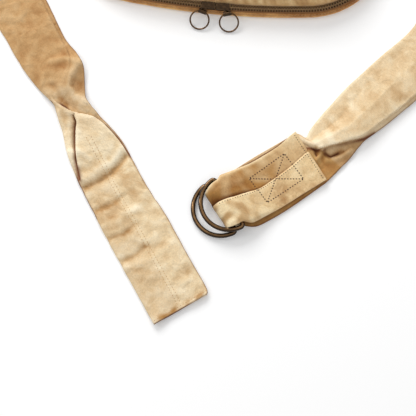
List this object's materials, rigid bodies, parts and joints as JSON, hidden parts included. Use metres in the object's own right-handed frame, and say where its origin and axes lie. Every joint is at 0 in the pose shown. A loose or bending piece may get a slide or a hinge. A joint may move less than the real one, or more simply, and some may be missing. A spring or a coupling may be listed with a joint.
{
  "type": "sling bag",
  "caption": "Zipped canvas sling bag with a domed front pouch and wide straps, one ending in a plain tail and the other in a sewn loop that holds stacked D-rings.",
  "frame": {"origin": "middle of the bag's back, on the floor it lies on", "axes": "+X along the bag and its zip, +Y from the zip edge to the far edge, +Z out of the front panel"},
  "size_m": [0.5055, 0.5308, 0.047],
  "materials": {
    "canvas": "waxed, mottled tan canvas",
    "canvas_rim": "waxed, darker tan canvas",
    "strap_canvas": "washed, creased pale tan canvas",
    "binding": "woven tape",
    "zip_tape": "woven zip tape",
    "zip_metal": "dark antique",
    "bronze": "antique bronze, worn brighter on its edges"
  },
  "bodies": {
    "bag": {"back_panel": "canvas", "rim_gusset": "canvas_rim", "far_gusset": "canvas_rim", "front_panel": "canvas", "back_binding": "binding", "front_binding": "binding", "zip_tape_rim": "zip_tape", "zip_tape_front": "zip_tape", "zip_teeth_rim": "zip_metal", "zip_teeth_front": "zip_metal", "zip_stops": "zip_metal", "strap_tail": "strap_canvas", "strap_ring_side": "strap_canvas"},
    "slider_left": {"slider_left": "bronze"},
    "slider_right": {"slider_right": "bronze"},
    "pull_link_left": {"pull_link_left": "bronze"},
    "pull_link_right": {"pull_link_right": "bronze"},
    "pull_ring_left": {"pull_ring_left": "bronze"},
    "pull_ring_right": {"pull_ring_right": "bronze"},
    "d_ring_lower": {"d_ring_lower": "bronze"},
    "d_ring_upper": {"d_ring_upper": "bronze"}
  },
  "joints": [
    {"name": "slider_right_travel", "type": "hinge", "parent": "bag", "child": "slider_right", "pos_m": [0, 0.6975, 0.0092], "axis": [0, 0, 1], "range_deg": [0, 5.8]},
    {"name": "slider_left_travel", "type": "hinge", "parent": "bag", "child": "slider_left", "pos_m": [0, 0.6975, 0.0092], "axis": [0, 0, -1], "range_deg": [0, 5.8]},
    {"name": "pull_right_swivel", "type": "hinge", "parent": "slider_right", "child": "pull_link_right", "pos_m": [0.01081, -0.09702, 0.01272], "axis": [0.0033, -0.342, 0.9397], "range_deg": [-12, 30]},
    {"name": "pull_left_swivel", "type": "hinge", "parent": "slider_left", "child": "pull_link_left", "pos_m": [-0.01081, -0.09702, 0.01272], "axis": [0.0033, 0.342, -0.9397], "range_deg": [-12, 30]},
    {"name": "pull_ring_right_swing", "type": "hinge", "parent": "pull_link_right", "child": "pull_ring_right", "pos_m": [0.01269, -0.10335, 0.01041], "axis": [-0.9636, -0.2525, -0.0885], "range_deg": [0, 80]},
    {"name": "pull_ring_left_swing", "type": "hinge", "parent": "pull_link_left", "child": "pull_ring_left", "pos_m": [-0.01269, -0.10335, 0.01041], "axis": [-0.9636, 0.2525, 0.0885], "range_deg": [0, 80]},
    {"name": "d_ring_upper_swing", "type": "hinge", "parent": "bag", "child": "d_ring_upper", "pos_m": [0.03277, -0.30052, 0.0102], "axis": [-0.6018, 0.7986, 0], "range_deg": [0, 100]},
    {"name": "d_ring_lower_swing", "type": "hinge", "parent": "bag", "child": "d_ring_lower", "pos_m": [0.0255, -0.306, 0.00505], "axis": [-0.6018, 0.7986, 0], "range_deg": [0, 100]}
  ],
  "couplings": [
    {"joint": "d_ring_lower_swing", "follows": "d_ring_upper_swing", "ratio": 1}
  ]
}
